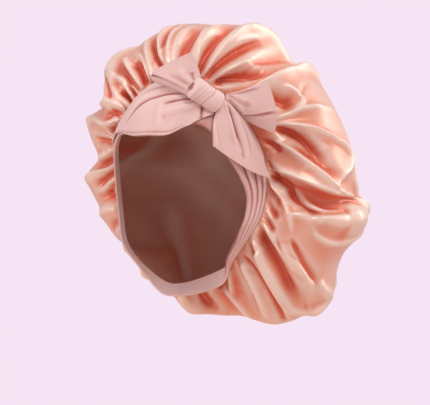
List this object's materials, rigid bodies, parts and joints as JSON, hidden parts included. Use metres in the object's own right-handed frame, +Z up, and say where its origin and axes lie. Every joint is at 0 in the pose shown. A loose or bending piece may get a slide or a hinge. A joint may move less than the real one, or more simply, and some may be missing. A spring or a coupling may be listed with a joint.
{
  "type": "sleep bonnet",
  "caption": "Full gathered satin sleep bonnet on a wide tie band, knotted in a short bow at the temple, open in front for the face.",
  "frame": {"origin": "the middle of the wearer's head, inside the face opening", "axes": "+Z up the wearer's head, the wearer faces -Y, the wearer's left side is +X"},
  "size_m": [0.3251, 0.3295, 0.3719],
  "materials": {
    "satin": "coral peach satin, glossy on the folds",
    "band_fabric": "dusty pink stretch weave, matte with a faint sheen"
  },
  "bodies": {
    "root": {"crown": "satin", "band": "band_fabric", "forehead_wrap": "band_fabric", "knot": "band_fabric", "tail_upper": "band_fabric", "tail_side": "band_fabric", "tail_lower": "band_fabric"}
  },
  "joints": []
}
